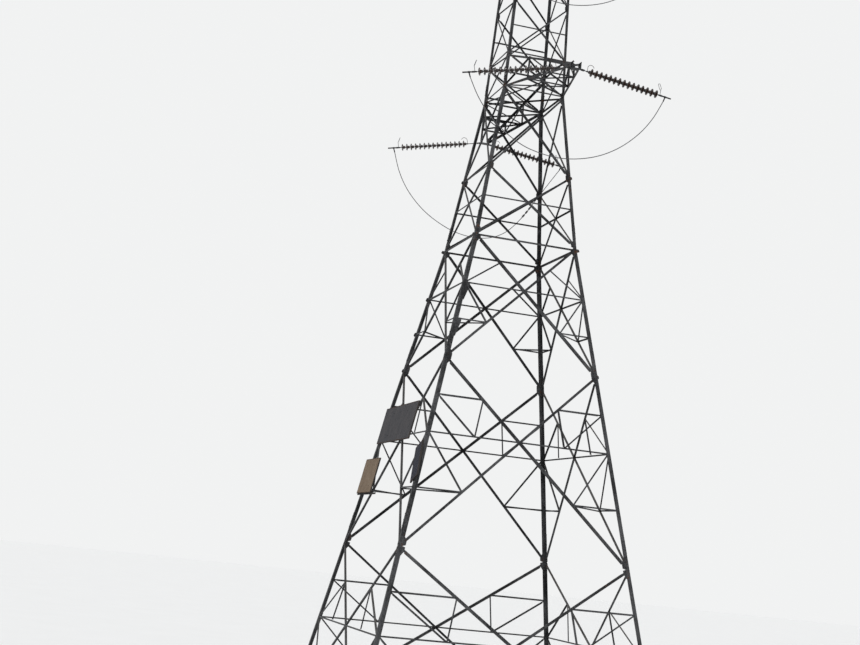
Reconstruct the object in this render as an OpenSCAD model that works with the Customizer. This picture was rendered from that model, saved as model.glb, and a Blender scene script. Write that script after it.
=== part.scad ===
// Lattice transmission pylon, a tension tower for one circuit. Millimetres, +Z up, ground at z = 0.
// +X is the front, where two of the three arms are; the line runs along Y.

/* [Body] */
// Half of the spread of the legs' outer corners on the footings
base_half = 4920; // [4700:10:5200]
// Half of the spread at the upper bend of the legs
bend_half = 1760; // [1650:10:1900]
// Half of the spread at the lower arms
waist_half = 1085; // [1000:5:1150]
// Half of the spread at the top of the cage
head_half = 890; // [840:5:940]
// Height of the first panel point
level_1 = 6600; // [6200:20:7000]
// Height of the second panel point
level_2 = 12600; // [12200:20:13000]
// Height of the bend
level_3 = 16850; // [16500:20:17200]
// Height of the panel point under the waist
level_4 = 19260; // [19100:20:19500]
// Height of the two lower arms' bottom chords
waist = 22100; // [21800:20:22400]

/* [Steel sections] */
// Flange of the leg angle below the bend
leg_low = 130; // [120:1:150]
// Flange of the leg angle from the bend to the waist
leg_mid = 110; // [100:1:120]
// Flange of the leg angle in the cage
leg_top = 90; // [84:1:100]
// Thickness of the lower leg angle
leg_t = 12; // [8:0.5:14]
// Flange of the diagonals below the bend
diag_low = 80; // [65:1:90]
// Flange of the diagonals above the bend
diag_top = 65; // [55:1:70]
// Flange of the small struts
strut_w = 50; // [40:1:60]
// Thickness of the bracing angles
brace_t = 6; // [4:0.5:8]
// Length along the leg of a gusset plate below the bend
gusset_low = 460; // [400:10:520]
// Length along the leg of a gusset plate above the bend
gusset_top = 300; // [260:10:320]

/* [Footings] */
// Side of a footing's top
foot_side = 800; // [700:10:900]
// Side of a leg's base plate
plate_side = 440; // [400:10:500]
// Height of a footing above the ground
foot_h = 300; // [200:10:400]

/* [Arms] */
// Reach of the lower front arm from the tower's centre line
reach_long = 5080; // [4900:10:5200]
// Reach of the upper arm and the back arm
reach_short = 4300; // [4200:10:4400]
// Height of an arm at its root
arm_depth = 1250; // [1150:10:1350]
// Height of the upper arm above the lower ones
arm_pitch = 5300; // [5100:20:5500]
// Height above the waist where the cage's tall panels meet
cage_mid = 3200; // [3100:10:3300]
// Drop of a front arm's lugs below its root
tip_drop = 350; // [300:5:400]
// Drop of the back arm's lugs below its root
tip_drop_back = 480; // [430:5:520]
// Half of the arm's width at its tip
tip_half = 130; // [120:1:150]
// Flange of the arm's chords
chord_w = 70; // [60:1:80]
// Rise of the earth wire peak above the cage
peak_rise = 4200; // [3900:20:4500]

/* [Strings] */
// Swing of the strings toward the back, in degrees
yaw = 4.5; // [0:0.5:8]
// Droop of the strings on the left, in degrees
droop_left = 12.2; // [10:0.2:14]
// Droop of the strings on the right, in degrees
droop_right = 5; // [3:0.5:7]
// Discs in one string
discs = 15; // [14:1:16]
// Pitch of the discs
disc_pitch = 165; // [155:1:170]
// Radius of a disc
disc_r = 128; // [120:1:140]
// Length of the links between arm and string on the left
link_left = 500; // [460:5:540]
// Length of the links between arm and string on the right
link_right = 240; // [230:5:280]
// Radius of the conductor's hole
wire_r = 14.1; // [13:0.1:15]
// Radius of the earth wire's hole
earth_r = 5.9; // [5:0.1:7]
// Depth of the conductor's hole
wire_grip = 180; // [150:5:200]
// Length of a line clamp from the last disc to its mouth
clamp_len = 480; // [440:5:520]
// Radius of a jumper cable
cable_r = 13.8; // [12:0.1:14]

/* [Boards] */
// Width of the large board
large_w = 4200; // [4000:20:4300]
// Height of the large board
large_h = 1270; // [1200:10:1290]
// Height above ground of the large board's lower edge
large_z = 9990; // [9900:10:10010]
// Width of the tan board
tan_w = 1950; // [1800:10:2000]
// Height of the tan board
tan_h = 1220; // [1100:10:1250]
// Height above ground of the tan board's lower edge
tan_z = 8270; // [8260:10:8300]
// Width of the narrow board
narrow_w = 600; // [560:10:650]
// Height of the narrow board
narrow_h = 1250; // [1150:10:1300]
// Height above ground of the narrow board's low corner
narrow_z = 8500; // [8400:10:8600]
// Slant of the narrow board, which hangs askew, in degrees
narrow_slant = 25; // [20:1:28]
// Depth of a board's folded rim
rim_depth = 45; // [35:1:55]

/* [Hidden] */
$fn = 48;
mid_t = leg_t - 2;
top_t = leg_t - 4;
head = waist + arm_pitch + arm_depth;
peak = head + peak_rise;
slope_a = (base_half - bend_half)/(level_3 - foot_h);
slope_b = (bend_half - waist_half)/(waist - level_3);
slope_c = (waist_half - head_half)/(head - waist);
peak_half = 90;
lug_out = 60;
lug_r = 34;
horn_r = 8;
// Routes of the hanging jumper cables, [along the line, up] from the middle between two lugs
cable_x = -242;
route_front = [[-3300, -840], [-3010, -1360], [-2660, -1810], [-2260, -2180], [-1820, -2470],
    [-1350, -2690], [-840, -2810], [-320, -2860], [200, -2820], [720, -2700], [1210, -2510],
    [1690, -2230], [2120, -1880], [2510, -1460], [2840, -970], [3110, -410]];
route_back = [[-3300, -840], [-3070, -1480], [-2750, -2040], [-2340, -2510], [-1860, -2900],
    [-1340, -3190], [-800, -3400], [-260, -3500], [270, -3500], [750, -3390], [1190, -3150],
    [1570, -2780], [1930, -2290], [2290, -1720], [2680, -1090], [3110, -410]];
slope_d = (head_half - peak_half)/peak_rise;
tilt_a = atan(slope_a);
tilt_b = atan(slope_b);
tilt_c = atan(slope_c);
tilt_d = atan(slope_d);

// Half of the spread at a height
function half_at(z) = z <= level_3 ? base_half - slope_a*(z - foot_h)
    : z <= waist ? bend_half - slope_b*(z - level_3)
    : z <= head ? waist_half - slope_c*(z - waist)
    : head_half - slope_d*(z - head);

// A face's own plane: x along the face, y up it, z outward. k turns it to the other sides.
module on_face(k, b0, z0, tilt) {
    rotate([0, 0, 90*k]) translate([b0, 0, z0]) rotate([90 - tilt, 0, 90]) children();
}

// One flange of a leg angle on a face; s is the side of the face it runs along
module leg_plate(b0, z0, z1, slope, tilt, w, t, s) {
    v = (z1 - z0)/cos(tilt);
    lean = slope*cos(tilt);
    e = 60;
    wide = w*sqrt(1 + lean*lean);
    translate([0, 0, -t]) linear_extrude(t) polygon([
        [s*(b0 + lean*e), -e], [s*(b0 - lean*(v + e)), v + e],
        [s*(b0 - lean*(v + e) - wide), v + e], [s*(b0 + lean*e - wide), -e]]);
}

// One straight stretch of the leg between faces k and k + 1, cut level at both ends
module leg_run(k, b0, z0, z1, slope, tilt, w, t) {
    intersection() {
        translate([-6000, -6000, z0]) cube([12000, 12000, z1 - z0]);
        union() {
            on_face(k, b0, z0, tilt) leg_plate(b0, z0, z1, slope, tilt, w, t, 1);
            on_face(k + 1, b0, z0, tilt) leg_plate(b0, z0, z1, slope, tilt, w, t, -1);
        }
    }
}

module leg(k) {
    color("dimgray") union() {
        leg_run(k, base_half, foot_h, level_3, slope_a, tilt_a, leg_low, leg_t);
        leg_run(k, bend_half, level_3, waist, slope_b, tilt_b, leg_mid, mid_t);
        leg_run(k, waist_half, waist, head, slope_c, tilt_c, leg_top, top_t);
        base_plate(k);
    }
}

// Plate on the footing with two ribs that brace the leg's flanges
module base_plate(k) {
    c = base_half - 60;
    h = 180;
    rib = [[-6, 0], [plate_side/2 - 80, 0], [plate_side/2 - 80, 20], [-20, h], [-6 - slope_a*h, h]];
    rotate([0, 0, 90*k]) {
        translate([c - plate_side/2, c - plate_side/2, foot_h]) cube([plate_side, plate_side, 24]);
        translate([base_half, c + 6, foot_h]) rotate([90, 0, 0]) linear_extrude(12) polygon(rib);
        translate([c - 6, base_half, foot_h]) rotate([90, 0, 90]) linear_extrude(12) polygon(rib);
    }
}

// An angle on a face from p to q; its flat flange lies at the given depth, c and d shorten the other one
module strut(p, q, w, depth, side = 1, c = 0, d = 0, t = brace_t - 1) {
    n = norm(q - p);
    a = atan2(q[1] - p[1], q[0] - p[0]);
    translate([p[0], p[1], -depth]) rotate([0, 0, a]) union() {
        translate([0, -w/2, -t]) cube([n, w, t]);
        translate([c, side > 0 ? w/2 - t : -w/2, -w]) cube([n - c - d, t, w]);
    }
}

// Point on the gauge line of a leg: s is the side, v the distance up the face
function gauge(b0, lean, w, s, v) = [s*(b0 - lean*v - 0.55*w), v];
// Point where the two diagonals of a panel cross
function cross_v(h0, h1, v0, v1) = v0 + (v1 - v0)*h0/(h0 + h1);
function mid(p, q) = (p + q)/2;

// Plate between a leg and the diagonals that meet there, from lo to hi about the height v
module gusset(b0, lean, lw, lt, s, v, lo, hi, reach) {
    function edge(u, d) = [s*(b0 - lean*(v + d) - u), v + d];
    t = brace_t + 1.7;
    translate([0, 0, -lt - t]) linear_extrude(t) polygon([
        edge(0.27*lw, lo), edge(0.27*lw, hi), edge(lw + 15, hi),
        edge(lw + reach, 0.42*hi), edge(lw + reach, 0.42*lo), edge(lw + 15, lo)]);
}

// Two crossed diagonals between the heights v0 and v1 up a face
module cross_pair(b0, lean, lw, lt, v0, v1, w) {
    cope = lw + 70;
    strut(gauge(b0, lean, lw, -1, v0), gauge(b0, lean, lw, 1, v1), w, lt, 1, cope, cope, brace_t);
    strut(gauge(b0, lean, lw, 1, v0), gauge(b0, lean, lw, -1, v1), w, lt, 1, cope, cope, brace_t - 0.5);
}

// A level strut from leg to leg
module level_strut(b0, lean, lw, lt, v, w, side = 1) {
    strut(gauge(b0, lean, lw, -1, v), gauge(b0, lean, lw, 1, v), w, lt, side, lw, lw);
}

// The small struts beside one leg in a panel: style 1 in the low panel under the bend,
// style 2 in the tall panels of the front and the back, and 3 in those of the left and the right
module side_struts(b0, lean, lw, lt, v0, v1, s, style) {
    g = 0.55*lw;
    h0 = b0 - lean*v0 - g;
    h1 = b0 - lean*v1 - g;
    vc = cross_v(h0, h1, v0, v1);
    at_leg = gauge(b0, lean, lw, s, vc);
    x = [0, vc];
    top = gauge(b0, lean, lw, s, v1);
    bottom = gauge(b0, lean, lw, s, v0);
    up = mid(top, x);
    down = mid(bottom, x);
    strut(at_leg, down, strut_w, lt, s, lw, 20, brace_t - 2);
    strut(gauge(b0, lean, lw, s, down[1]), down, strut_w, lt, -s, lw, 40, brace_t - 1.5);
    if (style == 2) {
        strut(gauge(b0, lean, lw, s, up[1]), up, strut_w, lt, s, lw, 40, brace_t - 1.5);
        strut(gauge(b0, lean, lw, s, up[1]), mid(at_leg, x), strut_w, lt, s, lw, 50, brace_t - 2);
        strut(up, mid(at_leg, x), strut_w, lt, -s, 50, 50, brace_t - 2.5);
    } else if (style == 3) {
        strut(at_leg, up, strut_w, lt, -s, lw, 30, brace_t - 1.5);
        strut(up, mid(at_leg, x), strut_w - 8, lt, -s, 70, 50, brace_t - 2.5);
    } else {
        strut(at_leg, up, strut_w, lt, -s, lw, 30, brace_t - 2.5);
    }
}

function tall_style(k) = k % 2 == 0 ? 2 : 3;

// Lowest panel of a face, from the footings to the first panel point
module base_panel(k) {
    lean = slope_a*cos(tilt_a);
    v0 = 260;
    v1 = (level_1 - foot_h)/cos(tilt_a) - 50;
    g = 0.55*leg_low;
    vc = cross_v(base_half - lean*v0 - g, base_half - lean*v1 - g, v0, v1);
    color("gray") on_face(k, base_half, foot_h, tilt_a) union() {
        cross_pair(base_half, lean, leg_low, leg_t, v0, v1, diag_low);
        level_strut(base_half, lean, leg_low, leg_t, vc, strut_w);
        for (s = [-1, 1]) {
            side_struts(base_half, lean, leg_low, leg_t, v0, v1, s, tall_style(k));
            gusset(base_half, lean, leg_low, leg_t, s, v0, -gusset_low*0.2, gusset_low/2, 90);
            gusset(base_half, lean, leg_low, leg_t, s, v1, -gusset_low/2, 42, 90);
        }
    }
}

// The two panels of a face between the first panel point and the bend
module body_panel(k) {
    lean = slope_a*cos(tilt_a);
    v1 = (level_1 - foot_h)/cos(tilt_a) + 50;
    v2 = (level_2 - foot_h)/cos(tilt_a);
    v3 = (level_3 - foot_h)/cos(tilt_a) - 60;
    g = 0.55*leg_low;
    function h(v) = base_half - lean*v - g;
    color("gray") on_face(k, base_half, foot_h, tilt_a) union() {
        cross_pair(base_half, lean, leg_low, leg_t, v1, v2 - 40, diag_low);
        cross_pair(base_half, lean, leg_low, leg_t, v2 + 40, v3, diag_low);
        level_strut(base_half, lean, leg_low, leg_t, cross_v(h(v1), h(v2 - 40), v1, v2 - 40), strut_w);
        level_strut(base_half, lean, leg_low, leg_t, cross_v(h(v2 + 40), h(v3), v2 + 40, v3), strut_w);
        level_strut(base_half, lean, leg_low, leg_t, v3, diag_top);
        for (s = [-1, 1]) {
            side_struts(base_half, lean, leg_low, leg_t, v1, v2 - 40, s, tall_style(k));
            side_struts(base_half, lean, leg_low, leg_t, v2 + 40, v3, s, 1);
            gusset(base_half, lean, leg_low, leg_t, s, v1, -42, gusset_low/2, 90);
            gusset(base_half, lean, leg_low, leg_t, s, v2, -gusset_low/2, gusset_low/2, 90);
            gusset(base_half, lean, leg_low, leg_t, s, v3, -gusset_low/2, 34, 90);
        }
    }
}

// The two panels of a face between the bend and the waist
module waist_panel(k) {
    lean = slope_b*cos(tilt_b);
    v0 = 60;
    v1 = (level_4 - level_3)/cos(tilt_b);
    v2 = (waist - level_3)/cos(tilt_b) - 60;
    g = 0.55*leg_mid;
    function h(v) = bend_half - lean*v - g;
    color("gray") on_face(k, bend_half, level_3, tilt_b) union() {
        cross_pair(bend_half, lean, leg_mid, mid_t, v0, v1 - 35, diag_top);
        cross_pair(bend_half, lean, leg_mid, mid_t, v1 + 35, v2, diag_top);
        level_strut(bend_half, lean, leg_mid, mid_t, cross_v(h(v0), h(v1 - 35), v0, v1 - 35), strut_w);
        if (k % 2 == 1) level_strut(bend_half, lean, leg_mid, mid_t, v1, strut_w);
        for (s = [-1, 1]) {
            gusset(bend_half, lean, leg_mid, mid_t, s, v0, -42, gusset_top*0.6, 70);
            gusset(bend_half, lean, leg_mid, mid_t, s, v1, -gusset_top/2, gusset_top/2, 70);
            gusset(bend_half, lean, leg_mid, mid_t, s, v2, -gusset_top*0.6, 34, 70);
        }
    }
}

// A face of the cage; the front and the back one carry the arms
module cage_panel(k) {
    lean = slope_c*cos(tilt_c);
    lv = [0, arm_depth, cage_mid, arm_pitch, arm_pitch + arm_depth];
    function h(v) = waist_half - lean*v - 0.55*leg_top;
    color("gray") on_face(k, waist_half, waist, tilt_c) union() {
        for (i = [0:3])
            cross_pair(waist_half, lean, leg_top, top_t, lv[i] + 50, lv[i + 1] - 50, strut_w);
        for (i = [0, 1, 3, 4])
            level_strut(waist_half, lean, leg_top, top_t, lv[i] + (i == 4 ? -50 : 50), strut_w);
        if (k % 2 == 0) for (i = [1, 2]) level_strut(waist_half, lean, leg_top, top_t,
            cross_v(h(lv[i] + 50), h(lv[i + 1] - 50), lv[i] + 50, lv[i + 1] - 50), strut_w - 5);
        half = 0.4*gusset_top;
        for (s = [-1, 1]) {
            for (i = [1, 2]) gusset(waist_half, lean, leg_top, top_t, s, lv[i], -half, half, 50);
            for (i = [0, 3]) gusset(waist_half, lean, leg_top, top_t, s, lv[i] + 50, -33, half, 50);
            gusset(waist_half, lean, leg_top, top_t, s, lv[4] - 50, -half, 33, 50);
        }
    }
}

// Concrete chimney under a leg
module footing(k) {
    c = base_half - 60;
    color("silver") rotate([0, 0, 90*k]) translate([c, c, 0]) intersection() {
        translate([-foot_side/2, -foot_side/2, 0]) cube([foot_side, foot_side, foot_h]);
        rotate([0, 0, 45]) translate([-foot_side*0.66, -foot_side*0.66, 0])
            cube([foot_side*1.32, foot_side*1.32, foot_h]);
    }
}

// An angle in space from p to q with its flat flange facing n
module angle_bar(p, q, w, n, t = brace_t) {
    d = q - p;
    l = norm(d);
    e3 = d/l;
    c = cross(n, e3);
    e1 = c/norm(c);
    e2 = cross(e3, e1);
    multmatrix([[e1[0], e2[0], e3[0], p[0]], [e1[1], e2[1], e3[1], p[1]], [e1[2], e2[2], e3[2], p[2]]])
        linear_extrude(l) polygon([[-w/2, 0], [w/2, 0], [w/2, -t], [-w/2 + t, -t], [-w/2 + t, -w], [-w/2, -w]]);
}

// An arm at level i reaching r from the centre line, drawn along +X.
// Its tip plate, drop under its root, carries the strings.
module arm(r, i, drop) {
    z0 = waist + i*arm_pitch;
    zl = z0 - drop;
    zr = z0 + 65;
    zt = z0 + arm_depth - 90;
    b0 = half_at(zr);
    b1 = half_at(zt);
    tip = r - 90;
    ft = [0.36, 0.68];
    fs = [0.03, 0.352, 0.668];
    function low(s, f) = [b0 + f*(tip - b0), s*((1 - f)*(b0 - 45) + f*tip_half), zr + f*(zl + 95 - zr)];
    function high(s, f) = [b1 + f*(tip - b1), s*((1 - f)*(b1 - 45) + f*tip_half), zt + f*(zl + 185 - zt)];
    color("darkgray") union() {
        for (s = [-1, 1]) {
            angle_bar(low(s, -0.001), low(s, 1), chord_w, [0, 0, 1]);
            angle_bar(high(s, -0.001), high(s, 1), chord_w, [0, 0, 1]);
            for (f = ft) angle_bar(low(s, f) - [0, 0, 31], high(s, f) - [0, 0, 4], strut_w, [0, 1, 0]);
            angle_bar(low(s, 0.01), high(s, ft[0]), strut_w, [0, 1, 0], brace_t - 1);
            angle_bar(high(s, ft[0]), low(s, ft[1]), strut_w, [0, 1, 0], brace_t - 1.5);
            on_face(0, waist_half, waist, tilt_c) {
                root_plate(s, b0, (zr - waist)/cos(tilt_c));
                root_plate(s, b1, (zt - waist)/cos(tilt_c));
            }
            // side plates of the tip
            translate([tip - 170, s*tip_half - (s > 0 ? 0 : 8), zl - 5]) cube([260, 8, 230]);
        }
        for (f = ft) {
            angle_bar(low(-1, f), low(1, f), strut_w, [0, 0, 1], brace_t - 1);
            angle_bar(high(-1, f), high(1, f), strut_w, [0, 0, 1], brace_t - 1);
        }
        for (i = [0, 1]) {
            angle_bar(low(-1, fs[i]), low(1, fs[i + 1]), strut_w - 3, [0, 0, 1], brace_t - 1.5);
            angle_bar(low(1, fs[i]), low(-1, fs[i + 1]), strut_w - 5, [0, 0, 1], brace_t - 2);
        }
        translate([tip - 170, -tip_half - 8, zl - 5]) cube([260, 2*tip_half + 16, 10]);
        // lugs that the links hang on
        for (s = [-1, 1]) translate([tip, s*(tip_half + lug_out), zl]) difference() {
            union() {
                cylinder(h = 16, r = lug_r, center = true);
                translate([-lug_r, s > 0 ? -lug_out - 10 : 0, -8]) cube([2*lug_r, lug_out + 10, 16]);
            }
            cylinder(h = 60, r = 13, center = true);
        }
    }
}

// Plate on the outer face of a leg where a chord is bolted
module root_plate(s, b, v) {
    translate([s*(b - 45) - 42, v - 60, 0]) cube([84, 120, 8]);
}

// The earth wire peak
module peak_frame() {
    lean = slope_d*cos(tilt_d);
    v1 = peak_rise/cos(tilt_d);
    pt = 6;
    lw = 75;
    a = 0.42*v1;
    b = 0.76*v1;
    color("darkgray") union() {
        for (k = [0:3]) {
            leg_run(k, head_half, head, peak, slope_d, tilt_d, lw, pt);
            on_face(k, head_half, head, tilt_d) union() {
                cross_pair(head_half, lean, lw, pt, 60, a - 30, strut_w);
                cross_pair(head_half, lean, lw, pt, a + 30, b - 30, strut_w);
                level_strut(head_half, lean, lw, pt, a, strut_w);
                level_strut(head_half, lean, lw, pt, b, strut_w);
            }
        }
        translate([-peak_half - 15, -peak_half - 15, peak]) cube([2*peak_half + 30, 2*peak_half + 30, 12]);
        for (s = [-1, 1]) difference() {
            translate([-6, s > 0 ? 0 : -150, peak + 12]) cube([12, 150, 90]);
            translate([0, s*115, peak + 60]) rotate([0, 90, 0]) cylinder(h = 40, r = 9, center = true);
        }
    }
}

// Level bars from corner to corner inside the legs, with plates in the corners
module plan_cross(z, t, tilt, w) {
    b = half_at(z) - t/cos(tilt) - 0.5;
    e = b - 0.36*w;
    g = 150;
    translate([0, 0, z]) union() {
        strut([-e, -e], [e, e], w, 0, 1, g, g, brace_t);
        strut([-e, e], [e, -e], w, 0, 1, g, g, brace_t - 0.5);
        for (k = [0:3]) rotate([0, 0, 90*k]) translate([0, 0, -11]) linear_extrude(8)
            polygon([[b - 12, b], [b, b - 12], [b, b - g], [b - g, b]]);
    }
}

// Middle between an arm's lugs: f is 1 for the front and -1 for the back, i the level
function lug_mid(f, i) = [f*((f > 0 && i == 0 ? reach_long : reach_short) - 90), 0,
    waist + i*arm_pitch - (f > 0 ? tip_drop : tip_drop_back)];
function droop(s) = s > 0 ? droop_right : droop_left;
function link_of(s) = s > 0 ? link_right : link_left;
function string_end(s) = link_of(s) + discs*disc_pitch;

// Frame of a string: z runs along it away from its lug, s is -1 on the left and 1 on the right
module string_frame(f, s, i) {
    translate(lug_mid(f, i) + [0, s*(tip_half + lug_out), 0])
        rotate([0, 0, s*yaw]) rotate([-s*(90 + droop(s)), 0, 0]) children();
}

// Outline of one cap and disc from z to z + disc_pitch
function disc_profile(z) = [[34, z], [50, z + 12], [52, z + 72], [disc_r - 12, z + 96], [disc_r, z + 106],
    [disc_r - 8, z + 113], [disc_r - 32, z + 107], [disc_r - 36, z + 124], [disc_r - 48, z + 124],
    [disc_r - 52, z + 108], [13, z + 112], [13, z + disc_pitch]];

// A chain of discs, from the link to the line clamp
module disc_string(s) {
    rotate_extrude() polygon(concat([[0, link_of(s)]],
        [for (i = [0:discs - 1]) for (q = disc_profile(link_of(s) + i*disc_pitch)) q], [[0, string_end(s)]]));
}

// A rod that stands h tall at z on side up of y, then bends over by r1 along z, through an angle, to a ball
module horn(z, up, h, r1, way, turn) {
    translate([0, 0, z]) rotate([-90*up, 0, 0]) cylinder(h = h, r = horn_r);
    multmatrix([[0, 0, way*up, 0], [0, up, 0, up*h], [-way, 0, 0, z + way*r1]])
        rotate_extrude(angle = turn) translate([r1, 0]) circle(r = horn_r);
    translate([0, up*(h + r1*sin(turn)), z + way*r1*(1 - cos(turn))]) sphere(r = horn_r + 4);
}

// A rod that ends in a long ring, which leans over by an angle along z
module racket(z, up, way) {
    r = horn_r - 1;
    translate([0, 0, z]) rotate([-90*up, 0, 0]) cylinder(h = 187, r = horn_r);
    translate([0, up*190, z]) rotate([up > 0 ? way*28 : 180 - way*28, 0, 0]) {
        for (s = [-1, 1]) translate([s*55, 55, 0]) rotate([-90, 0, 0]) cylinder(h = 90, r = r);
        for (t = [0, 1]) translate([0, 55 + 90*t, 0]) rotate([0, 0, 180 + 180*t])
            rotate_extrude(angle = 180) translate([55, 0]) circle(r = r);
    }
}

// Clevis, link and ball rod between a lug and the first disc; the long link has a plate with spare holes
module tower_link(s) {
    l = link_of(s);
    cylinder_y(11, 30);
    for (y = [14, -24]) translate([0, y + 10, 0]) rotate([90, 0, 0]) linear_extrude(10) union() {
        circle(r = 30);
        translate([-30, 0]) square([60, 75]);
    }
    translate([-30, -24, 62]) cube([60, 48, 30]);
    if (l > 400) {
        translate([0, 0, 85]) cylinder(h = 100, r = 14);
        translate([0, 7, 0]) rotate([90, 0, 0]) linear_extrude(14) difference() {
            translate([-34, 170]) square([68, 210]);
            for (z = [215, 275, 335]) translate([0, z]) circle(r = 11);
        }
        translate([0, 0, 370]) cylinder(h = l - 370, r = 12);
    } else {
        translate([0, 0, 85]) cylinder(h = l - 85, r = 14);
    }
    translate([0, 0, l - 68]) cylinder(h = 46, r = 24);
    horn(l - 45, -s, 130, 110, 1, 150);
}

module cylinder_y(r, half) { rotate([90, 0, 0]) cylinder(h = 2*half, r = r, center = true); }

// Socket, eye and barrel beyond the last disc, with the hole for the line's conductor
module line_clamp(s) {
    z = string_end(s);
    difference() {
        union() {
            translate([0, 0, z]) cylinder(h = 80, r = 12);
            translate([0, 0, z + 22]) cylinder(h = 44, r = 24);
            translate([-22, -22, z + 72]) cube([44, 44, 46]);
            translate([-8, -28, z + 110]) cube([16, 56, 60]);
            translate([0, 0, z + 160]) cylinder(h = clamp_len - 160, r = 23);
            translate([0, 0, z + 241]) cylinder(h = 62, r = 31);
            racket(z + 85, -s, -1);
        }
        translate([0, 0, z + clamp_len - wire_grip]) cylinder(h = wire_grip + 10, r = wire_r);
    }
}

// Where the jumper leaves a line clamp, from the middle between the lugs
function terminal_root(s) = let (a = droop(s), l = string_end(s) + 275)
    [-l*sin(yaw)*cos(a), s*(tip_half + lug_out + l*cos(yaw)*cos(a)), -l*sin(a)];

module bar_between(p, q, r) {
    d = q - p;
    translate(p) rotate([0, acos(d[2]/norm(d)), atan2(d[1], d[0])]) cylinder(h = norm(d), r = r);
}

// Both strings' metal parts on one arm
module arm_fittings(f, i) {
    route = f > 0 ? route_front : route_back;
    for (s = [-1, 1]) {
        e = s > 0 ? route[len(route) - 1] : route[0];
        string_frame(f, s, i) tower_link(s);
        union() {
            string_frame(f, s, i) line_clamp(s);
            translate(lug_mid(f, i))
                bar_between(terminal_root(s), [cable_x, e[0], e[1]], 20);
        }
    }
}

// A smooth curve through the points, with n steps in each stretch
function spline(p, n) = let (m = len(p)) concat(
    [for (i = [0:m - 2]) for (j = [0:n - 1]) let (t = j/n, a = p[max(i - 1, 0)], b = p[i], c = p[i + 1],
        d = p[min(i + 2, m - 1)])
        0.5*(2*b + t*(c - a) + t*t*(2*a - 5*b + 4*c - d) + t*t*t*(3*b - a - 3*c + d))],
    [p[m - 1]]);

// A tube of 8 sides along points in an upright plane, its ends square to the given directions
module cable(pts, start, end, r) {
    n = len(pts);
    function way(i) = let (d = i == 0 ? start : i == n - 1 ? end : [0, pts[i + 1][0] - pts[i - 1][0],
        pts[i + 1][1] - pts[i - 1][1]]) d/norm(d);
    function ring(i) = let (w = way(i), u = cross([1, 0, 0], w)/norm(cross([1, 0, 0], w)), v = cross(w, u))
        [for (k = [0:7]) [cable_x, pts[i][0], pts[i][1]] + r*(cos(45*k)*u + sin(45*k)*v)];
    polyhedron(
        points = [for (i = [0:n - 1]) for (q = ring(i)) q],
        faces = concat([[for (k = [0:7]) k]], [[for (k = [0:7]) 8*n - 1 - k]],
            [for (i = [0:n - 2]) for (k = [0:7]) let (a = 8*i + k, b = 8*i + (k + 1)%8) each
                [[a, a + 8, b + 8], [a, b + 8, b]]]));
}

module jumper(f, i) {
    route = f > 0 ? route_front : route_back;
    e0 = [cable_x, route[0][0], route[0][1]];
    e1 = [cable_x, route[len(route) - 1][0], route[len(route) - 1][1]];
    color("silver") translate(lug_mid(f, i))
        cable(spline(route, 3), e0 - terminal_root(-1), terminal_root(1) - e1, cable_r);
}

// A sheet with a rim folded back to the tower, on two level straps that run on past its sides by a and b
module board(w, h, a, b) {
    strap = 8.5;
    sheet = 3;
    rim = 4;
    for (v = [0.2*h, 0.8*h]) translate([-a, v - 20, 0]) cube([w + a + b, 40, strap]);
    translate([0, 0, strap - 0.5]) difference() {
        cube([w, h, rim_depth]);
        translate([rim, rim, -1]) cube([w - 2*rim, h - 2*rim, rim_depth - sheet + 1]);
    }
    // upright stiffeners behind the sheet
    n = max(1, round(w/1100) - 1);
    for (i = [1:n]) translate([i*w/(n + 1) - 2.5, rim - 1, strap - 1]) cube([5, h - 2*rim + 2, rim_depth - 1]);
}

// The left face's plane with its x from a leg's corner at the height z; s is the side of that leg
module at_left_leg(s, z) {
    on_face(3, base_half, foot_h, tilt_a)
        translate([s*half_at(z), (z - foot_h)/cos(tilt_a), 0]) children();
}

module footings() { for (k = [0:3]) footing(k); }
module leg_front_right() { leg(0); }
module leg_back_right() { leg(1); }
module leg_back_left() { leg(2); }
module leg_front_left() { leg(3); }
module base_bracing_front() { base_panel(0); }
module base_bracing_right() { base_panel(1); }
module base_bracing_back() { base_panel(2); }
module base_bracing_left() { base_panel(3); }
module body_bracing_front() { body_panel(0); }
module body_bracing_right() { body_panel(1); }
module body_bracing_back() { body_panel(2); }
module body_bracing_left() { body_panel(3); }
module waist_bracing_front() { waist_panel(0); }
module waist_bracing_right() { waist_panel(1); }
module waist_bracing_back() { waist_panel(2); }
module waist_bracing_left() { waist_panel(3); }
module cage_bracing_front() { cage_panel(0); }
module cage_bracing_right() { cage_panel(1); }
module cage_bracing_back() { cage_panel(2); }
module cage_bracing_left() { cage_panel(3); }
module earth_wire_peak() { peak_frame(); }
module arm_front_lower() { arm(reach_long, 0, tip_drop); }
module arm_front_upper() { arm(reach_short, 1, tip_drop); }
module arm_back() { rotate([0, 0, 180]) arm(reach_short, 0, tip_drop_back); }
module plan_bracing_waist() { color("gray") plan_cross(waist, mid_t, tilt_b, strut_w); }
module plan_bracing_cage() { color("gray") plan_cross(waist + arm_pitch, top_t, tilt_c, strut_w); }
module insulators(f, i) { for (s = [-1, 1]) color("saddlebrown") string_frame(f, s, i) disc_string(s); }
module insulators_front_lower() { insulators(1, 0); }
module insulators_front_upper() { insulators(1, 1); }
module insulators_back() { insulators(-1, 0); }
module fittings_front_lower() { color("gainsboro") arm_fittings(1, 0); }
module fittings_front_upper() { color("gainsboro") arm_fittings(1, 1); }
module fittings_back() { color("gainsboro") arm_fittings(-1, 0); }
module jumper_front_lower() { jumper(1, 0); }
module jumper_front_upper() { jumper(1, 1); }
module jumper_back() { jumper(-1, 0); }
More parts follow.
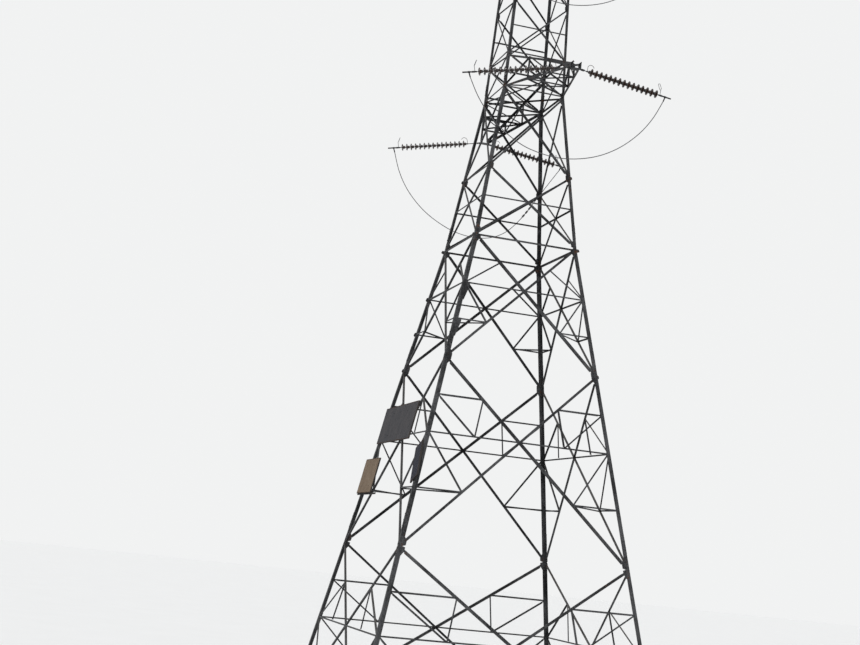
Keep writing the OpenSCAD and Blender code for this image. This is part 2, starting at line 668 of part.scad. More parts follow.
// Forged clamps that anchor the earth wire to both sides of the peak
module earth_wire_clamps() {
    for (s = [-1, 1]) color("gainsboro")
        translate([0, s*115, peak + 60]) rotate([0, 0, s*yaw]) rotate([-s*94, 0, 0]) {
        difference() {
            union() {
                rotate([0, 90, 0]) cylinder(h = 44, r = 8, center = true);
                for (x = [-18, 10]) translate([x, 0, 0]) rotate([90, 0, 90]) linear_extrude(8) union() {
                    circle(r = 20);
                    translate([-20, 0]) square([40, 70]);
                }
                translate([-18, -20, 50]) cube([36, 40, 40]);
                translate([0, 0, 80]) cylinder(h = 220, r = 15);
            }
            translate([0, 0, 200]) cylinder(h = 120, r = earth_r);
        }
    }
}
module sign_large() {
    color("steelblue") at_left_leg(-1, large_z) translate([0.5*leg_low, 0, 0]) board(large_w, large_h, 0, 0);
}
// The tan board stands on a shelf angle that runs on to the face's bracing
module sign_tan() {
    out = 400;
    shelf = 60;
    spare = 40;
    color("tan") at_left_leg(-1, tan_z) translate([-out, 0, 0]) {
        board(tan_w, tan_h, 0, -0.3*tan_w);
        translate([-spare, 6 - shelf, 0]) cube([tan_w + spare + 660, shelf, 7]);
        translate([-spare, -3, 0]) cube([tan_w + 2*spare, 5, rim_depth + 12]);
    }
}
module sign_narrow() {
    color("darkslateblue") at_left_leg(1, narrow_z) translate([-2.2*leg_low, 0, 0])
        rotate([0, 0, narrow_slant]) board(narrow_w, narrow_h, 0, 0);
}

footings();
leg_front_right();
leg_back_right();
leg_back_left();
leg_front_left();
base_bracing_front();
base_bracing_right();
base_bracing_back();
base_bracing_left();
body_bracing_front();
body_bracing_right();
body_bracing_back();
body_bracing_left();
waist_bracing_front();
waist_bracing_right();
waist_bracing_back();
waist_bracing_left();
cage_bracing_front();
cage_bracing_right();
cage_bracing_back();
cage_bracing_left();
earth_wire_peak();
arm_front_lower();
arm_front_upper();
arm_back();
plan_bracing_waist();
plan_bracing_cage();
insulators_front_lower();
insulators_front_upper();
insulators_back();
fittings_front_lower();
fittings_front_upper();
fittings_back();
jumper_front_lower();
jumper_front_upper();
jumper_back();
earth_wire_clamps();
sign_large();
sign_tan();
sign_narrow();
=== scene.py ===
"""Looks for a lattice transmission pylon: weathered zinc on angle steel, brown porcelain strings, stranded
jumper cables, painted boards and cast footings, with the bolts, splices and corner struts of the real frame.

Metres throughout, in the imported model's frame: +Z up, +X the front, the line along Y.
"""
import math
import random
from collections import namedtuple

import bpy
import numpy as np
from mathutils import Matrix, Vector


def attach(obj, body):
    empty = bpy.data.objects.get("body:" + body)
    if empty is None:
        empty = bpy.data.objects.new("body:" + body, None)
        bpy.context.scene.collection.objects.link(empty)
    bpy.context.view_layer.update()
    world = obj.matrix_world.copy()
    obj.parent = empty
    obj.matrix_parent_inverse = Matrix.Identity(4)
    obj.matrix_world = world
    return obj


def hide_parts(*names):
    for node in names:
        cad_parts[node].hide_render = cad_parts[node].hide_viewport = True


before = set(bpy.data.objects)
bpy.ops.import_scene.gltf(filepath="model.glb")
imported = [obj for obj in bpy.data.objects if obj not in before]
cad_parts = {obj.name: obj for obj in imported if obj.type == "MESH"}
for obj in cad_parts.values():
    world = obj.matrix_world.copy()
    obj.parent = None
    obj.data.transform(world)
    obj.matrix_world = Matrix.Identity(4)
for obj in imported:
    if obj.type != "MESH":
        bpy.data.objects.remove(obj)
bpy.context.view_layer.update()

# Sizes of the steel frame: levels and half widths of the tower, then thicknesses and lengths of its plates
FOOT_TOP = 0.3
LEVEL_1, LEVEL_2, LEVEL_3, LEVEL_4, WAIST = 6.6, 12.6, 16.85, 19.26, 22.1
ARM_PITCH, ARM_DEPTH, CAGE_MID, PEAK_RISE = 5.3, 1.25, 3.2, 4.2
HEAD = WAIST + ARM_PITCH + ARM_DEPTH
BASE_HALF, BEND_HALF, WAIST_HALF, HEAD_HALF, PEAK_HALF = 4.92, 1.76, 1.085, 0.89, 0.09
BRACE_T, GUSSET_T = 0.006, 0.0077
GUSSET_LOW, GUSSET_TOP = 0.46, 0.30
# Reach, level and tip drop of each arm, and the way it points along X
Arm = namedtuple("Arm", "reach level drop way")
ARMS = {
    "front_lower": Arm(5.08, 0, 0.35, 1),
    "front_upper": Arm(4.3, 1, 0.35, 1),
    "back": Arm(4.3, 0, 0.48, -1),
}
TIP_HALF, TIP_BACK, LUG_OUT = 0.13, 0.09, 0.06
# How the strings point: turned off the line's direction, and drooping by side
YAW, DROOP = math.radians(4.5), {-1: math.radians(12.2), 1: math.radians(5)}
DISC_PITCH, CAP_R = 0.165, 0.0528
SIDE_NAMES = ("front", "right", "back", "left")
PHOTO_WIDTH = 860        # pixels

# One tapering stretch: half its width at the foot, the foot's height and the slope, then the width and the
# thickness of its legs
Stretch = namedtuple("Stretch", "half foot slope leg thick")
BODY = Stretch(BASE_HALF, FOOT_TOP, (BASE_HALF - BEND_HALF) / (LEVEL_3 - FOOT_TOP), 0.130, 0.012)
NECK = Stretch(BEND_HALF, LEVEL_3, (BEND_HALF - WAIST_HALF) / (WAIST - LEVEL_3), 0.110, 0.010)
CAGE = Stretch(WAIST_HALF, WAIST, (WAIST_HALF - HEAD_HALF) / (HEAD - WAIST), 0.090, 0.008)
TOP = Stretch(HEAD_HALF, HEAD, (HEAD_HALF - PEAK_HALF) / PEAK_RISE, 0.075, 0.006)


def half_at(z):
    """Half of the tower's width at a height."""
    part = BODY if z <= LEVEL_3 else NECK if z <= WAIST else CAGE if z <= HEAD else TOP
    return part.half - part.slope * (z - part.foot)


def lug_middle(arm):
    """Middle between the two lugs at the tip of an arm."""
    return Vector((arm.way * (arm.reach - TIP_BACK), 0, WAIST + arm.level * ARM_PITCH - arm.drop))


def string_axis(arm, side):
    """Start and direction of the string on the left (-1) or the right (1) of an arm."""
    drop = DROOP[side]
    start = lug_middle(arm) + Vector((0, side * (TIP_HALF + LUG_OUT), 0))
    way = Vector((-math.sin(YAW) * math.cos(drop), side * math.cos(YAW) * math.cos(drop), -math.sin(drop)))
    return start, way


def camera_at(place, pan, tilt, roll, focal_px):
    """Camera that looks along -X, panned toward +Y, tilted up and rolled, all in degrees."""
    pan, tilt, roll = (math.radians(a) for a in (pan, tilt, roll))
    ahead = Vector((-math.cos(pan) * math.cos(tilt), math.sin(pan) * math.cos(tilt), math.sin(tilt)))
    level = Vector((math.sin(pan), math.cos(pan), 0))
    above = level.cross(ahead)
    right = math.cos(roll) * level + math.sin(roll) * above
    up = right.cross(ahead)
    data = bpy.data.cameras.new("camera")
    data.sensor_fit = "HORIZONTAL"
    data.sensor_width = 36
    data.lens = focal_px / PHOTO_WIDTH * data.sensor_width
    data.clip_end = 1000
    camera = bpy.data.objects.new("camera", data)
    turn = Matrix((right, up, -ahead)).transposed().to_4x4()
    camera.matrix_world = Matrix.Translation(place) @ turn
    bpy.context.scene.collection.objects.link(camera)
    bpy.context.scene.camera = camera


camera_at((45.96, -14.77, 6.38), pan=14.97, tilt=9.08, roll=6.03, focal_px=1455.6)


# Shader maths
class Value:
    """A shader socket that takes part in Python sums."""

    def __init__(self, tree, socket):
        self.tree, self.socket = tree, socket

    def maths(self, operation, *rest):
        terms = dict(enumerate((self, *rest)))
        return self.tree.node("ShaderNodeMath", {"operation": operation}, terms)

    def __add__(self, other):
        return self.maths("ADD", other)

    def __sub__(self, other):
        return self.maths("SUBTRACT", other)

    def __rsub__(self, other):
        return self.tree.node("ShaderNodeMath", {"operation": "SUBTRACT"}, {0: other, 1: self})

    def __mul__(self, other):
        return self.maths("MULTIPLY", other)

    def __truediv__(self, other):
        return self.maths("DIVIDE", other)

    def __abs__(self):
        return self.maths("ABSOLUTE")

    def __gt__(self, other):
        return self.maths("GREATER_THAN", other)

    def least(self, other):
        return self.maths("MINIMUM", other)

    def most(self, other):
        return self.maths("MAXIMUM", other)

    def whole(self):
        return self.maths("FLOOR")

    def rise(self, low, high):
        """0 below low, 1 above high and a smooth rise between."""
        return self.tree.node("ShaderNodeMapRange", {"interpolation_type": "SMOOTHSTEP"},
                              {"Value": self, "From Min": low, "From Max": high})

    __radd__, __rmul__ = __add__, __mul__


class Tree:
    """A node tree; every node comes from one method."""

    def __init__(self, tree):
        self.tree = tree

    def node(self, kind, settings=None, sockets=None, out=0):
        made = self.tree.nodes.new(kind)
        for name, setting in (settings or {}).items():
            setattr(made, name, setting)
        for name, value in (sockets or {}).items():
            if isinstance(value, Value):
                self.tree.links.new(value.socket, made.inputs[name])
            else:
                made.inputs[name].default_value = value
        return Value(self, made.outputs[out]) if made.outputs else None


class Finish(Tree):
    """A procedural material, patterned in the tower's own coordinates."""

    def __init__(self, name, **constants):
        self.material = bpy.data.materials.new(name)
        self.material.use_nodes = True
        super().__init__(self.material.node_tree)
        self.shader = self.tree.nodes["Principled BSDF"]
        for socket, value in constants.items():
            self.shader.inputs[socket.replace("_", " ")].default_value = value
        self.place = self.node("ShaderNodeTexCoord", out="Object")
        self.height = self.axis(self.place, "Z")
        self.facing_up = self.axis(self.node("ShaderNodeNewGeometry", out="Normal"), "Z")

    def axis(self, vector, letter):
        return self.node("ShaderNodeSeparateXYZ", None, {0: vector}, letter)

    def vector(self, operation, a, b, out=0):
        return self.node("ShaderNodeVectorMath", {"operation": operation}, {0: a, 1: b}, out)

    def length(self, a):
        return self.node("ShaderNodeVectorMath", {"operation": "LENGTH"}, {0: a}, "Value")

    def noise(self, scale, detail=4, roughness=0.55, stretch=(1, 1, 1), seed=0.0):
        """Cloudy noise from 0 to 1 with so many clouds in a metre, drawn out where stretch is under 1."""
        spot = self.vector("MULTIPLY", self.place, stretch)
        spot = self.vector("ADD", spot, (seed, seed, seed))
        return self.node("ShaderNodeTexNoise", None,
                         {"Vector": spot, "Scale": scale, "Detail": detail, "Roughness": roughness})

    def cells(self, scale):
        """A chance number from 0 to 1 in each cell of a broken-up pattern."""
        colour = self.node("ShaderNodeTexVoronoi", None, {"Vector": self.place, "Scale": scale}, "Color")
        return self.vector("DOT_PRODUCT", colour, (1 / 3, 1 / 3, 1 / 3), "Value")

    def mix(self, a, b, factor):
        """Colour a where the factor is 0 and b where it is 1; 6, 7 and 2 are the node's colour sockets."""
        a, b = ((*c, 1) if isinstance(c, tuple) else c for c in (a, b))
        return self.node("ShaderNodeMix", {"data_type": "RGBA"}, {"Factor": factor, 6: a, 7: b}, 2)

    def set(self, colour, roughness, relief, depth, **others):
        """Joins colour, roughness and a relief of so many metres to the shader."""
        bump = self.node("ShaderNodeBump", None, {"Height": relief, "Distance": depth}, "Normal")
        values = {"Base Color": colour, "Roughness": roughness, "Normal": bump, **others}
        for socket, value in values.items():
            self.tree.links.new(value.socket, self.shader.inputs[socket])
        return self.material


# Finishes
JOINT_LEVELS = (LEVEL_1, LEVEL_2, LEVEL_3, LEVEL_4, WAIST, WAIST + ARM_DEPTH, HEAD - ARM_DEPTH, HEAD)
SOOTY_ZINC, WORN_ZINC, WHITE_RUST = (0.0105, 0.0108, 0.0116), (0.058, 0.059, 0.062), (0.15, 0.152, 0.155)
OLD_RUST, FRESH_RUST, DUST = (0.030, 0.015, 0.009), (0.095, 0.040, 0.018), (0.105, 0.096, 0.083)
DAMP_CAST, DRY_CAST = (0.27, 0.25, 0.225), (0.43, 0.41, 0.375)
RAIN_STAIN, PIT_DIRT = (0.135, 0.115, 0.095), (0.085, 0.078, 0.070)
DARK_GLAZE, LIGHT_GLAZE, GRIME = (0.009, 0.0048, 0.0040), (0.031, 0.0145, 0.0095), (0.050, 0.043, 0.036)
CAP_ZINC, CAP_RUST = (0.040, 0.041, 0.043), (0.072, 0.033, 0.017)
SOOTY_WIRE, PLAIN_WIRE, RUBBED_WIRE = (0.060, 0.060, 0.063), (0.150, 0.150, 0.154), (0.300, 0.300, 0.305)
SHEET_RUST, SHEET_BLOOM = (0.030, 0.016, 0.010), (0.085, 0.039, 0.019)
# Bare steel of the boards' rims, backs and straps: the darker colour is painted shade, the lighter one grime
SHADED_BARE_SHEET, GRIMY_SHEET = (0.014, 0.0135, 0.014), (0.052, 0.047, 0.043)
FORM_BOARD = 0.1         # width of the boards that the footings were cast in
BOARD_OUT = 0.053        # how far a painted board's front stands out from the legs' plane
RIM_T = 0.004            # thickness of its folded rim


def weathered_zinc(name, rust, tone=1.0):
    """Old galvanised steel: dark grey with a faint spangle, run-off streaks and chalky specks, dust on
    ledges, and rust that gathers at the joints' levels."""
    f = Finish(name, Specular_IOR_Level=0.22)
    clouds = f.noise(1.1, 5)
    mottle = f.noise(17, 6, 0.62, seed=3.1)
    spangle = f.cells(55)
    streaks = f.noise(26, 4, stretch=(1, 1, 0.035), seed=7.7)
    chalk = f.noise(31, 7, 0.68, seed=15.2)
    shade = (clouds * 0.9 + mottle * 0.6 + streaks * 0.5 + spangle * 0.16 - 0.5).rise(0.40, 0.78)
    dark, pale = (tuple(c * tone for c in colour) for colour in (SOOTY_ZINC, WORN_ZINC))
    grey = f.mix(dark, pale, shade)
    grey = f.mix(grey, WHITE_RUST, (chalk + clouds * 0.35).rise(0.74, 0.90) * 0.5)
    near = abs(f.height - JOINT_LEVELS[0])
    for level in JOINT_LEVELS[1:]:
        near = near.least(abs(f.height - level))
    blooms = f.noise(7, 6, 0.6, seed=11.3)
    rusty = (blooms + streaks * 0.22 - near.rise(0.1, 0.9) * 0.13).rise(0.75 - rust, 0.85 - rust)
    rust_colour = f.mix(OLD_RUST, FRESH_RUST, f.noise(60, 4, seed=5.9))
    dust = f.facing_up.rise(0.35, 0.9) * f.noise(9, 4, seed=2.2).rise(0.3, 0.6)
    colour = f.mix(grey, DUST, dust * 0.45)
    colour = f.mix(colour, rust_colour, rusty * 0.85)
    roughness = 0.46 + mottle * 0.22 + rusty * 0.25 + dust * 0.15
    relief = mottle * 0.5 + spangle * 0.12 + rusty * f.noise(130, 3) * 0.9
    return f.set(colour, roughness, relief, 0.0012, Metallic=(1 - rusty) * (1 - dust) * 0.4)


def cast_concrete():
    """Cast footings with board marks, pinholes, rain stains and damp at the foot."""
    f = Finish("cast_concrete")
    clouds = f.noise(2.5, 6)
    grit = f.noise(90, 4, 0.7, seed=4.4)
    course = f.height / FORM_BOARD
    joint = abs(course - course.whole() - 0.5).rise(0.455, 0.49)
    plank = f.node("ShaderNodeTexWhiteNoise", {"noise_dimensions": "1D"}, {"W": course.whole()})
    from_pit = f.node("ShaderNodeTexVoronoi", None, {"Vector": f.place, "Scale": 38.0}, "Distance")
    pores = 1 - from_pit.rise(0.06, 0.16)
    stains = f.noise(13, 5, stretch=(1, 1, 0.12), seed=8.1).rise(0.5, 0.72)
    damp = 1 - (f.height + clouds * 0.12).rise(0.07, 0.17)
    side = 1 - abs(f.facing_up).rise(0.3, 0.6)
    shade = (clouds + grit * 0.4 + plank * 0.14 - 0.2).rise(0.2, 0.85)
    colour = f.mix(DAMP_CAST, DRY_CAST, shade)
    colour = f.mix(colour, RAIN_STAIN, stains * 0.55 + damp * 0.4)
    colour = f.mix(colour, PIT_DIRT, pores * 0.8 + joint * side * 0.45)
    roughness = 0.92 - damp * 0.2 - grit * 0.06
    return f.set(colour, roughness, grit * 0.35 + clouds * 0.3 - pores - joint * side * 0.9, 0.004)


def porcelain(arm_name):
    """Brown glaze on an arm's discs, each a little different, with grime on top and metal caps that rust."""
    f = Finish(f"porcelain_{arm_name}", Specular_IOR_Level=0.3, Coat_Roughness=0.10, Coat_IOR=1.45)
    radii, steps = [], []
    for side in (-1, 1):
        start, way = string_axis(ARMS[arm_name], side)
        arm = f.vector("SUBTRACT", f.place, tuple(start))
        radii.append(f.length(f.vector("CROSS_PRODUCT", arm, tuple(way))))
        steps.append(f.vector("DOT_PRODUCT", arm, tuple(way), "Value"))
    radius = radii[0].least(radii[1])
    right = f.axis(f.place, "Y") > 0.0
    disc = ((steps[0] + (steps[1] - steps[0]) * right) / DISC_PITCH).whole()
    batch = f.node("ShaderNodeTexWhiteNoise", {"noise_dimensions": "1D"}, {"W": disc + right * 40})
    metal = 1 - radius.rise(CAP_R - 0.0008, CAP_R + 0.0004)
    cloud = f.noise(24, 5, seed=1.7)
    grime = (f.facing_up.rise(-0.1, 0.9) * 0.7 + cloud * 0.9).rise(0.55, 1.25)
    glaze = f.mix(DARK_GLAZE, LIGHT_GLAZE, batch * 0.7 + cloud * 0.5 - 0.1)
    glaze = f.mix(glaze, GRIME, grime * 0.4)
    speck = f.noise(210, 3, 0.6)
    rust = (f.noise(45, 5, seed=6.1) + metal * 0.02).rise(0.52, 0.66)
    cap = f.mix(CAP_ZINC, CAP_RUST, rust)
    colour = f.mix(glaze, cap, metal)
    roughness = (0.2 + grime * 0.4 + speck * 0.06) * (1 - metal) + (0.5 + rust * 0.3) * metal
    return f.set(colour, roughness, cloud * 0.3 + speck * metal * 0.5, 0.0006,
                 Metallic=metal * (1 - rust) * 0.5, **{"Coat Weight": (1 - metal) * (1 - grime) * 0.42})


def stranded_aluminium():
    """Weathered line wire: dull grey, sooty, with brighter rubbed spots."""
    f = Finish("stranded_aluminium")
    soot = f.noise(5, 6, 0.6)
    fine = f.noise(240, 4, seed=2.9)
    rubbed = f.noise(36, 4, seed=9.4).rise(0.6, 0.75)
    shade = (soot * 0.8 + fine * 0.4 - 0.1).rise(0.2, 0.9)
    colour = f.mix(SOOTY_WIRE, PLAIN_WIRE, shade)
    colour = f.mix(colour, RUBBED_WIRE, rubbed * 0.3)
    return f.set(colour, 0.48 + soot * 0.25, fine, 0.0003, Metallic=0.55 + rubbed * 0.3)


def painted_board(name, paint, size, middle, slant):
    """Faded paint on a sheet, on the side away from the tower, with its rim, back and straps of bare steel
    whose dark colour is painted shade, lighter where grimy."""
    f = Finish(name, Specular_IOR_Level=0.12)
    face = Face(3, BODY)
    turn = face.place.to_3x3() @ Matrix.Rotation(slant, 3, "Z")
    centre = face.place @ Vector((*middle, 0))
    spot = f.vector("SUBTRACT", f.place, tuple(centre))
    across, up, depth = (f.vector("DOT_PRODUCT", spot, tuple(turn.col[i]), "Value") for i in range(3))
    edge = (size[0] / 2 - abs(across)).least(size[1] / 2 - abs(up))
    front = depth.rise(BOARD_OUT - 0.0025, BOARD_OUT - 0.0018) * edge.rise(RIM_T, RIM_T + 0.0012)
    clouds = f.noise(2.2, 6, 0.6)
    fine = f.noise(75, 5, 0.6, seed=3.3)
    streaks = f.noise(17, 5, stretch=(1, 1, 0.05), seed=6.2)
    colour = f.mix(paint.fresh, paint.faded, (clouds * 0.7 + streaks * 0.6 - 0.2).rise(0.25, 0.8))
    colour = f.mix(colour, paint.worn, (streaks * 0.8 + fine * 0.35).rise(0.66, 0.86) * 0.55)
    bitten = ((0.035 - edge) * 14 + fine * 0.9 + clouds * 0.6).rise(0.84, 0.98)
    rust = f.mix(SHEET_RUST, SHEET_BLOOM, f.noise(120, 4))
    colour = f.mix(colour, rust, bitten * 0.75)
    grime = (clouds * 0.6 + fine * 0.6).rise(0.3, 0.85)
    # Rim, back and straps: bare steel, painted dark as shade, lighter where grimy
    bare_steel_and_shade = f.mix(SHADED_BARE_SHEET, GRIMY_SHEET, grime)
    colour = f.mix(bare_steel_and_shade, colour, front)
    roughness = 0.55 + fine * 0.2 + bitten * 0.2
    return f.set(colour, roughness, fine * 0.3 + bitten * front * 0.7 + clouds * 0.3, 0.0012,
                 Metallic=(1 - front) * 0.25)


# The tower's sides
class Face:
    """One side of one stretch: x runs along it, y up it from the stretch's foot and z outward."""

    def __init__(self, side, stretch):
        self.side, self.stretch = side, stretch
        tilt = math.atan(stretch.slope)
        self.rise = math.cos(tilt)
        self.lean = stretch.slope * self.rise
        turn = Matrix.Rotation(math.radians(90 * side), 4, "Z")
        stand = Matrix.Rotation(math.radians(90), 4, "Z") @ Matrix.Rotation(math.radians(90) - tilt, 4, "X")
        self.place = turn @ Matrix.Translation((stretch.half, 0, stretch.foot)) @ stand

    def up(self, z):
        """Distance up the face of a height above the ground."""
        return (z - self.stretch.foot) / self.rise

    def edge(self, s, v, inward=0.0):
        """Point so far in from the corner of the leg on side s."""
        return Vector((s * (self.stretch.half - self.lean * v - inward), v))

    def gauge(self, s, v):
        """Point on the bolt line of the leg on side s."""
        return self.edge(s, v, 0.55 * self.stretch.leg)

    def crossing(self, v0, v1):
        """Where the diagonals of the panel from v0 to v1 cross."""
        h0, h1 = self.gauge(1, v0).x, self.gauge(1, v1).x
        return Vector((0, v0 + (v1 - v0) * h0 / (h0 + h1)))

    def world(self, point, depth):
        return self.place @ Vector((point[0], point[1], depth))


# Closed shapes, each a pair of points and faces
def turned(sides, rings, phase=0.0):
    """A solid about Z through rings of (radius, height), with a flat end at the first and the last."""
    verts = [(r * math.cos(a), r * math.sin(a), z) for r, z in rings
             for a in (phase + 2 * math.pi * k / sides for k in range(sides))]
    faces = [tuple(range(sides))[::-1], tuple(range(len(verts) - sides, len(verts)))]
    for i in range(len(rings) - 1):
        for k in range(sides):
            a, b = i * sides + k, i * sides + (k + 1) % sides
            faces.append((a, b, b + sides, a + sides))
    return verts, faces


def plate(outline, low, high):
    """A flat plate with an outline drawn anticlockwise in x and y."""
    count = len(outline)
    verts = [(x, y, low) for x, y in outline] + [(x, y, high) for x, y in outline]
    faces = [tuple(range(count))[::-1], tuple(range(count, 2 * count))]
    faces += [(k, (k + 1) % count, (k + 1) % count + count, k + count) for k in range(count)]
    return verts, faces


def cut_rectangle(x0, x1, y0, y1, cut):
    """Outline of a rectangle with its corners cut off."""
    return [(x0 + cut, y0), (x1 - cut, y0), (x1, y0 + cut), (x1, y1 - cut),
            (x1 - cut, y1), (x0 + cut, y1), (x0, y1 - cut), (x0, y0 + cut)]


def bolt_shape(grip, across=0.024, head=0.010, nut=0.013, stub=0.016):
    """Hexagon bolt through a grip below z = 0: head and washer above, washer, nut and threaded end below."""
    corner, ring, shank = across / math.sqrt(3), 0.62 * across, 0.33 * across
    washer, sink, bevel = 0.003, 0.0006, 0.002
    under = -grip - washer
    tip = under - nut - stub
    return [
        turned(10, [(ring, -sink), (ring, washer)]),
        turned(6, [(corner, washer - sink), (corner, washer + 0.8 * head), (0.86 * corner, washer + head)]),
        turned(10, [(ring, under), (ring, -grip + sink)]),
        turned(6, [(0.9 * corner, under - nut), (corner, under - nut + bevel), (corner, under + sink)]),
        turned(8, [(0.28 * across, tip), (shank, tip + bevel), (shank, under - nut + sink)]),
    ]


def angle_bar(p, q, width, thick, facing):
    """Steel angle from p to q; its flat side lies on the line and looks along facing."""
    p, q = Vector(p), Vector(q)
    along = (q - p).normalized()
    across = Vector(facing).cross(along).normalized()
    out = along.cross(across)
    w, t = width / 2, thick
    outline = [(-w, 0), (-w, -width), (-w + t, -width), (-w + t, -t), (w, -t), (w, 0)]
    verts, faces = plate(outline, 0, (q - p).length)
    return [tuple(p + x * across + y * out + z * along) for x, y, z in verts], faces


# Turns every bolt a little differently
chance = random.Random(20)


class Heap:
    """Many closed shapes joined into one piece."""

    def __init__(self, name, finish, slot="galvanised_steel"):
        self.name, self.finish, self.slot = name, finish, slot
        self.verts, self.faces = [], []

    def add(self, shape, place=None):
        verts, faces = shape
        points = np.asarray(verts, float)
        if place is not None:
            grid = np.array(place)
            points = points @ grid[:3, :3].T + grid[:3, 3]
        first = len(self.verts)
        self.verts.extend(points.tolist())
        self.faces.extend(tuple(first + k for k in face) for face in faces)

    def bolt(self, place, grip, **sizes):
        """A bolt whose head looks along the place's z."""
        turn = Matrix.Rotation(chance.uniform(0, math.pi / 3), 4, "Z")
        for shape in bolt_shape(grip, **sizes):
            self.add(shape, place @ turn)

    def make(self):
        return piece(self.name, self.verts, self.faces, self.finish)


def piece(name, verts, faces, material, smooth=False):
    """A mesh object that rides on the tower."""
    mesh = bpy.data.meshes.new(name)
    mesh.from_pydata([tuple(v) for v in verts], [], [tuple(f) for f in faces])
    if smooth:
        mesh.polygons.foreach_set("use_smooth", [True] * len(mesh.polygons))
    mesh.materials.append(material)
    obj = bpy.data.objects.new(name, mesh)
    bpy.context.scene.collection.objects.link(obj)
    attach(obj, "root")
    return obj


def frame_of(spot, z_axis, x_axis):
    """Placement at a spot with its z and, as nearly as can be, its x along the given ways."""
    z = Vector(z_axis).normalized()
    y = z.cross(Vector(x_axis)).normalized()
    return Matrix.Translation(spot) @ Matrix((y.cross(z), y, z)).transposed().to_4x4()


# Jumper cables: routes in Y and Z from the middle between an arm's lugs, in an upright plane CABLE_X from it
CABLE_X, CABLE_R = -0.242, 0.0138
ROUTES = {
    "front": [(-3.3, -0.84), (-3.01, -1.36), (-2.66, -1.81), (-2.26, -2.18), (-1.82, -2.47), (-1.35, -2.69),
              (-0.84, -2.81), (-0.32, -2.86), (0.2, -2.82), (0.72, -2.7), (1.21, -2.51), (1.69, -2.23),
              (2.12, -1.88), (2.51, -1.46), (2.84, -0.97), (3.11, -0.41)],
    "back": [(-3.3, -0.84), (-3.07, -1.48), (-2.75, -2.04), (-2.34, -2.51), (-1.86, -2.9), (-1.34, -3.19),
             (-0.8, -3.4), (-0.26, -3.5), (0.27, -3.5), (0.75, -3.39), (1.19, -3.15), (1.57, -2.78),
             (1.93, -2.29), (2.29, -1.72), (2.68, -1.09), (3.11, -0.41)],
}
# Outer wires of a cable, the depth of the grooves between them in parts of its radius, the length in which
# the wires go round once, and the steps between two points of a route
STRANDS, GROOVE, STRAND_LAY, STEPS = 12, 0.10, 0.36, 20
# Where the spare tail and its clamps are, in metres along the back cable, and how far beside it
TAIL_FROM, TAIL_TO, TAIL_CLAMPS, TAIL_GAP = 6.62, 7.38, (6.82, 7.02, 7.22), 0.036
# Half sizes of a clamp, its cut corners, and where its bolts are along the cable
CLAMP_HALF, CLAMP_CUT, CLAMP_BOLTS = (0.040, 0.024, 0.055), 0.010, (-0.028, 0.028)


def spline(points, steps):
    """Points of a smooth curve through the given ones."""
    p = [np.array(q, float) for q in points]
    out = []
    for i in range(len(p) - 1):
        a, b, c, d = p[max(i - 1, 0)], p[i], p[i + 1], p[min(i + 2, len(p) - 1)]
        for t in np.arange(steps) / steps:
            out.append(0.5 * (2 * b + t * (c - a) + t * t * (2 * a - 5 * b + 4 * c - d)
                              + t ** 3 * (3 * b - a - 3 * c + d)))
    return out + [p[-1]]


def distances(path):
    """How far along it each point of a path is."""
    return np.concatenate([[0], np.cumsum(np.linalg.norm(np.diff(path, axis=0), axis=1))])


def stranded_tube(name, path, finish):
    """A cable in an upright plane along the line, whose outer wires twist round it."""
    path = np.asarray(path, float)
    way = np.gradient(path, axis=0)
    way /= np.linalg.norm(way, axis=1)[:, None]
    side = np.array([1.0, 0, 0])
    across = np.cross(way, side)
    count = STRANDS * 4      # points of a ring, four to a wire
    turn = np.arange(count) / count * 2 * math.pi
    reach = CABLE_R * (1 - GROOVE + GROOVE * np.abs(np.sin(turn * STRANDS / 2)))
    rings = []
    for q, u, s in zip(path, across, distances(path)):
        a = turn + 2 * math.pi * s / STRAND_LAY
        rings.append(q + reach[:, None] * (np.cos(a)[:, None] * u + np.sin(a)[:, None] * side))
    verts = np.concatenate(rings)
    faces = [tuple(range(count))[::-1], tuple(len(verts) - count + k for k in range(count))]
    for i in range(len(path) - 1):
        for k in range(count):
            a, b = i * count + k, i * count + (k + 1) % count
            faces.append((a, b, b + count, a + count))
    return piece(name, verts, faces, finish, smooth=True)


def cable_tail(path, wire, metal):
    """A spare tail beside the back cable, held to it by three clamps of two bolts each."""
    path = np.asarray(path, float)
    far = distances(path)
    beside = [q + np.array([TAIL_GAP, 0, 0]) for q, s in zip(path, far) if TAIL_FROM <= s <= TAIL_TO]
    tail = stranded_tube("cable_tail", beside, wire)
    heap = Heap("tail_clamps", metal, "fitting_steel")
    for s in TAIL_CLAMPS:
        i = int(np.searchsorted(far, s))
        way = Vector(path[i + 1] - path[i - 1]).normalized()
        middle = Vector(path[i]) + Vector((TAIL_GAP / 2, 0, 0))
        place = frame_of(middle, way, (1, 0, 0))
        wide, deep, long = CLAMP_HALF
        heap.add(plate(cut_rectangle(-wide, wide, -deep, deep, CLAMP_CUT), -long, long), place)
        for along in CLAMP_BOLTS:
            spot = place @ Matrix.Translation((0, deep, along)) @ Matrix.Rotation(-math.pi / 2, 4, "X")
            heap.bolt(spot, 2 * deep, across=0.019, head=0.008, nut=0.010, stub=0.014)
    return [tail, heap.make()]


def jumper(name, wire, metal):
    """The hanging cable of one arm, in place of its plain solid."""
    shape = name.split("_")[0]
    origin = lug_middle(ARMS[name])
    path = [(origin.x + CABLE_X, y, origin.z + up) for y, up in spline(ROUTES[shape], STEPS)]
    cable = stranded_tube(f"cable_{name}", path, wire)
    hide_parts(f"jumper_{name}")
    extra = cable_tail(path, wire, metal) if shape == "back" else []


wire_finish = stranded_aluminium()
steel = weathered_zinc("weathered_zinc", 0.06)
fitting_zinc = weathered_zinc("fitting_zinc", 0.10, 0.75)
bolt_zinc = weathered_zinc("bolt_zinc", 0.15, 1.15)
for arm_name in ARMS:
    jumper(arm_name, wire_finish, fitting_zinc)


